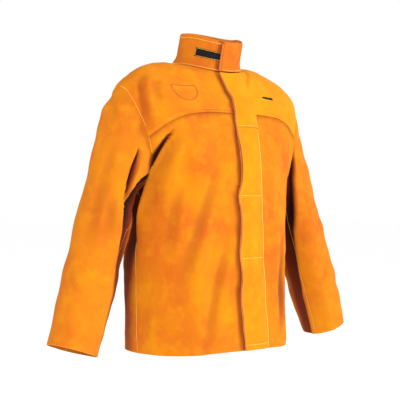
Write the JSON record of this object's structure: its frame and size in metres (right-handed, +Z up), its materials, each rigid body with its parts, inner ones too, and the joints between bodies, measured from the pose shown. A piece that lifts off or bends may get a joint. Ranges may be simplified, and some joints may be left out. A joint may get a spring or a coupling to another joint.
{
  "type": "leather welding jacket",
  "caption": "Split-leather welding jacket with yokes, a stand collar with a hook-and-loop tab, a storm flap over press studs, and sleeves that raise at the shoulder.",
  "frame": {"origin": "centre of the neck opening, where a hanger's hook or a wearer's neck comes through", "axes": "+Z up, -Y the front of the jacket, +X the wearer's left"},
  "size_m": [0.9718, 0.3327, 0.8498],
  "materials": {
    "hide": "orange split cowhide, matt suede nap on the outside",
    "facing_hide": "thinner split cowhide, matt, flesh side showing",
    "black_tape": "black woven nylon, hook-and-loop pile",
    "label_cloth": "plain woven cotton, blank",
    "snap_metal": "antiqued plated brass, satin"
  },
  "bodies": {
    "root": {"back_panel": "hide", "back_yoke": "hide", "right_front_panel": "hide", "right_front_yoke": "hide", "left_front_panel": "hide", "left_front_yoke": "hide", "right_front_facing": "facing_hide", "upper_flap_facing": "facing_hide", "hanger_loop": "hide", "neck_label": "label_cloth", "chest_tag": "black_tape", "collar_outer": "hide", "collar_lining": "facing_hide", "collar_loop_tape": "black_tape", "snap_stud_1": "snap_metal", "snap_post_1": "snap_metal", "snap_stud_2": "snap_metal", "snap_post_2": "snap_metal", "snap_stud_3": "snap_metal", "snap_post_3": "snap_metal"},
    "storm_flap": {"storm_flap": "hide", "storm_flap_facing": "facing_hide", "snap_cap_1": "snap_metal", "snap_socket_1": "snap_metal", "snap_cap_2": "snap_metal", "snap_socket_2": "snap_metal", "snap_cap_3": "snap_metal", "snap_socket_3": "snap_metal"},
    "collar_tab": {"collar_tab_outer": "hide", "collar_tab_lining": "facing_hide", "collar_hook_tape": "black_tape"},
    "right_sleeve": {"right_top_sleeve": "hide", "right_under_sleeve": "hide"},
    "left_sleeve": {"left_top_sleeve": "hide", "left_under_sleeve": "hide"}
  },
  "joints": [
    {"name": "flap_open", "type": "hinge", "parent": "root", "child": "storm_flap", "pos_m": [0.0792, -0.16125, -0.481], "axis": [-0.0457, 0.0219, 0.9987], "range_deg": [0, 110]},
    {"name": "collar_tab_open", "type": "hinge", "parent": "root", "child": "collar_tab", "pos_m": [0.0797, -0.0535, 0.0195], "axis": [-0.0688, -0.1785, 0.9815], "range_deg": [0, 95]},
    {"name": "right_sleeve_raise", "type": "hinge", "parent": "root", "child": "right_sleeve", "pos_m": [-0.2805, 0, -0.086], "axis": [0, 1, 0], "range_deg": [0, 45]},
    {"name": "left_sleeve_raise", "type": "hinge", "parent": "root", "child": "left_sleeve", "pos_m": [0.2805, 0, -0.086], "axis": [0, -1, 0], "range_deg": [0, 45]}
  ]
}
